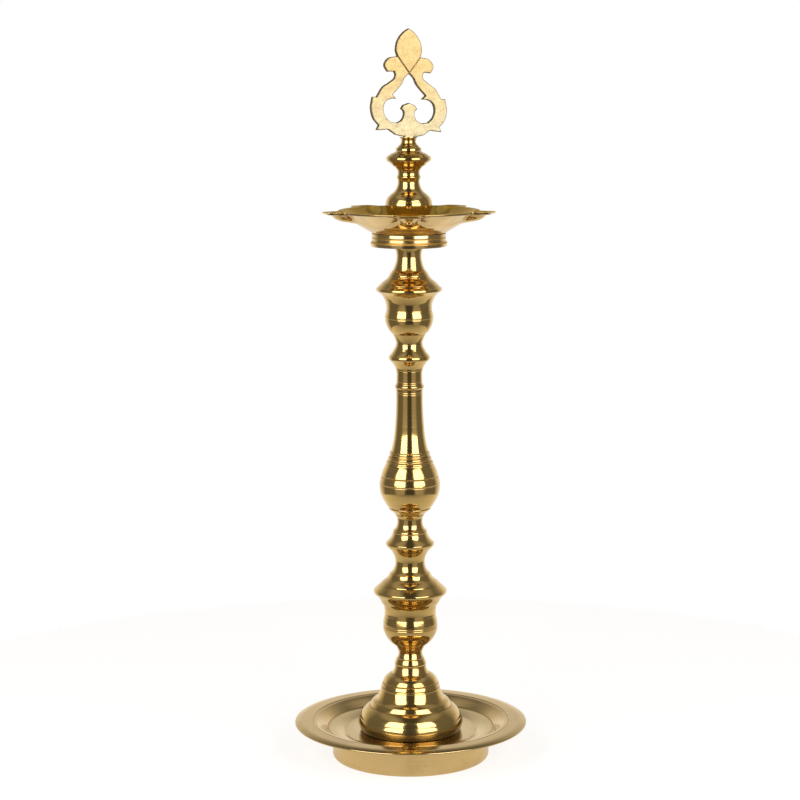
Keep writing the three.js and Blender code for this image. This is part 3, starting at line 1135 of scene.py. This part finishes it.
def build_finial_plate():
    """The pierced plate: round-edged, with the leaf's outline incised across its foot."""
    thickness, rounding = 5, 0.8
    curve = bpy.data.curves.new("plate", "CURVE")
    curve.dimensions = "2D"
    curve.fill_mode = "BOTH"
    curve.extrude = (thickness / 2 - rounding) * MM
    curve.bevel_depth = rounding * MM
    curve.bevel_resolution = 3
    curve.offset = -rounding * MM
    for strokes in (PLATE_EDGE, PLATE_OPENING):
        points = mirrored(strokes)
        spline = curve.splines.new("POLY")
        spline.points.add(len(points) - 1)
        for target, point in zip(spline.points, points):
            target.co = (point.x * MM, point.y * MM, 0, 1)
        spline.use_cyclic_u = True
    mesh = bmesh.new()
    mesh.from_mesh(baked(add_object("plate", curve)))
    flat = mesh_data("plate", welded(mesh))
    for side in (-1, 1):
        flat = cut_away(flat, leaf_line(side, thickness / 2))
    upright = Matrix.Rotation(PLATE_YAW, 4, "Z") @ Matrix.Rotation(math.pi / 2, 4, "X")
    flat.transform(upright)
    add_piece("finial_plate", flat, plate_brass, sharp_angle=math.radians(35))


def leaf_line(side, face):
    """A V-shaped cutter along one of the two lines that mark off the leaf, on the plate's front."""
    notch, notch_height, meeting_height = 9.6, 586.4, 573.6
    overrun, half_width = 1.5, 0.7
    depth = 0.8 if side < 0 else 0.55
    start = Vector((side * notch, notch_height - PLATE_SKEW * side * notch))
    end = Vector((0, meeting_height))
    away = (start - end).normalized()
    start += away * overrun
    across = Vector((-away.y, away.x)) * half_width
    corners = []
    for width, level in ((0.1, face - depth), (1.2, face + 0.2)):
        out = across * width
        places = (start - out, start + out, end + out, end - out)
        corners += [Vector((*place, level)) * MM for place in places]
    return block(corners)


build_finial_base()
build_finial_neck()
build_finial_plate()

# ---------------------------------------------------------------- studio, in metres

WARM_WHITE = (1, 0.95, 0.85, 1)
FLOOR_RADIUS = 0.6
FLOOR_GAP = 0.0003  # keeps the table clear of the lamp's foot
FLOOR_GLOW = 0.8  # lifts the table to the white of the photo's background
SOFTBOX_DISTANCE = 1.6
SOFTBOX_MIDDLE = 1.18  # height of its middle
SOFTBOX_WIDTH, SOFTBOX_HEIGHT = 1.22, 1.64
SOFTBOX_STRENGTH = 3.6
CAMERA_PLACE = (-0.0079, -1.954, 0.6067)
CAMERA_TILT, CAMERA_ROLL = 8.8, -0.24  # degrees, looking down and turned clockwise
CAMERA_LENS, CAMERA_SENSOR = 107, 36  # millimetres


def build_floor():
    """A white table; in the brass it is lit from behind, so that it darkens towards the camera."""
    mesh = bmesh.new()
    bmesh.ops.create_circle(mesh, cap_ends=True, radius=FLOOR_RADIUS, segments=96)
    floor = add_object("floor", mesh_data("floor", mesh))
    floor.location.z = cad_box[0].z - FLOOR_GAP
    material = bpy.data.materials.new("floor_paper")
    material.use_nodes = True
    tree = material.node_tree
    tree.nodes.clear()
    place = add_node(tree, "TexCoord").outputs["Object"]
    tone = blended(tree, noise(tree, place, 900), (0.33, 0.328, 0.325), (0.37, 0.368, 0.365))
    diffuse = add_node(tree, "BsdfDiffuse", {"Color": tone})
    glow = add_node(tree, "Emission", {"Color": (1, 0.995, 0.99, 1), "Strength": FLOOR_GLOW})
    seen = add_node(tree, "AddShader", {0: diffuse.outputs[0], 1: glow.outputs[0]})
    depth = add_node(tree, "SeparateXYZ", {"Vector": place}).outputs["Y"]
    brightness = spread(tree, depth, -0.5, 0.4, 0.3, 1)
    reflected = add_node(tree, "Emission", {"Color": WARM_WHITE, "Strength": brightness})
    direct = add_node(tree, "LightPath").outputs["Is Camera Ray"]
    paper = add_node(tree, "MixShader", {0: direct, 1: reflected.outputs[0], 2: seen.outputs[0]})
    distance = add_node(tree, "VectorMath", {0: place}, operation="LENGTH").outputs["Value"]
    fade = spread(tree, distance, FLOOR_RADIUS - 0.05, FLOOR_RADIUS - 0.03)
    clear = add_node(tree, "BsdfTransparent")
    mixed = add_node(tree, "MixShader", {0: fade, 1: paper.outputs[0], 2: clear.outputs[0]})
    add_node(tree, "OutputMaterial", {"Surface": mixed.outputs[0]}).is_active_output = True
    floor.data.materials.append(material)
    material.cycles.emission_sampling = "NONE"


def build_world():
    """White to the camera; to the brass, a dim studio that brightens towards the backdrop behind the lamp."""
    world = bpy.data.worlds.new("studio")
    bpy.context.scene.world = world
    world.use_nodes = True
    tree = world.node_tree
    tree.nodes.clear()
    direction = add_node(tree, "TexCoord").outputs["Generated"]
    split = add_node(tree, "SeparateXYZ", {"Vector": direction})
    side = maths(tree, "ABSOLUTE", split.outputs["X"])
    back, up = split.outputs["Y"], split.outputs["Z"]

    # Each part of the room is where a direction's coordinate runs from one value to another.
    walls = spread(tree, side, 0.2, 0.4, 0.07, 0.19)
    overhead = spread(tree, up, 0.7, 0.85, 0, 0.25)
    ceiling = maths(tree, "MULTIPLY", overhead, spread(tree, side, 0.15, 0.35))
    by_camera = maths(tree, "MULTIPLY", spread(tree, back, -0.45, -0.6), spread(tree, side, 0.3, 0.36))
    apron = maths(tree, "MULTIPLY", by_camera, spread(tree, up, 0.15, 0.05, 0, 0.25))
    behind = spread(tree, back, 0.36, 0.8)
    backdrop = maths(tree, "MULTIPLY", behind, spread(tree, up, 0.68, 0.15, 0.1, 0.85))
    strength = maths(tree, "ADD", maths(tree, "ADD", walls, ceiling), maths(tree, "ADD", apron, backdrop))

    room = add_node(tree, "Background", {"Color": WARM_WHITE, "Strength": strength})
    white = add_node(tree, "Background", {"Color": (1, 1, 1, 1), "Strength": 1.0})
    seen = add_node(tree, "LightPath").outputs["Is Camera Ray"]
    mixed = add_node(tree, "MixShader", {0: seen, 1: room.outputs[0], 2: white.outputs[0]})
    add_node(tree, "OutputWorld", {"Surface": mixed.outputs[0]})


def build_softbox(name, azimuth):
    """An area light that faces the lamp; azimuth 0 is the camera's side, and it grows to the right."""
    light = bpy.data.lights.new(name, "AREA")
    light.shape = "RECTANGLE"
    light.size = SOFTBOX_WIDTH
    light.size_y = SOFTBOX_HEIGHT
    light.energy = SOFTBOX_STRENGTH * SOFTBOX_WIDTH * SOFTBOX_HEIGHT * math.pi
    light.color = (1, 0.985, 0.96)
    holder = add_object(name, light)
    turn = math.radians(azimuth)
    out = Vector((SOFTBOX_DISTANCE * math.sin(turn), -SOFTBOX_DISTANCE * math.cos(turn), 0))
    holder.location = (out.x, out.y, SOFTBOX_MIDDLE)
    holder.rotation_euler = out.to_track_quat("Z", "Y").to_euler()


def build_camera():
    """The photographer's viewpoint: level with the lamp's top, looking down a little, with a long lens."""
    camera = add_object("camera", bpy.data.cameras.new("camera"))
    camera.data.sensor_width = CAMERA_SENSOR
    camera.data.lens = CAMERA_LENS
    camera.data.clip_end = 50
    camera.location = CAMERA_PLACE
    tilt = Matrix.Rotation(math.radians(90 - CAMERA_TILT), 4, "X")
    roll = Matrix.Rotation(math.radians(CAMERA_ROLL), 4, "Z")
    camera.rotation_euler = (tilt @ roll).to_euler()
    bpy.context.scene.camera = camera


build_floor()
build_world()
build_softbox("softbox_left", -39)
build_softbox("softbox_right", 38)
build_camera()
bpy.context.scene.view_settings.view_transform = "Standard"
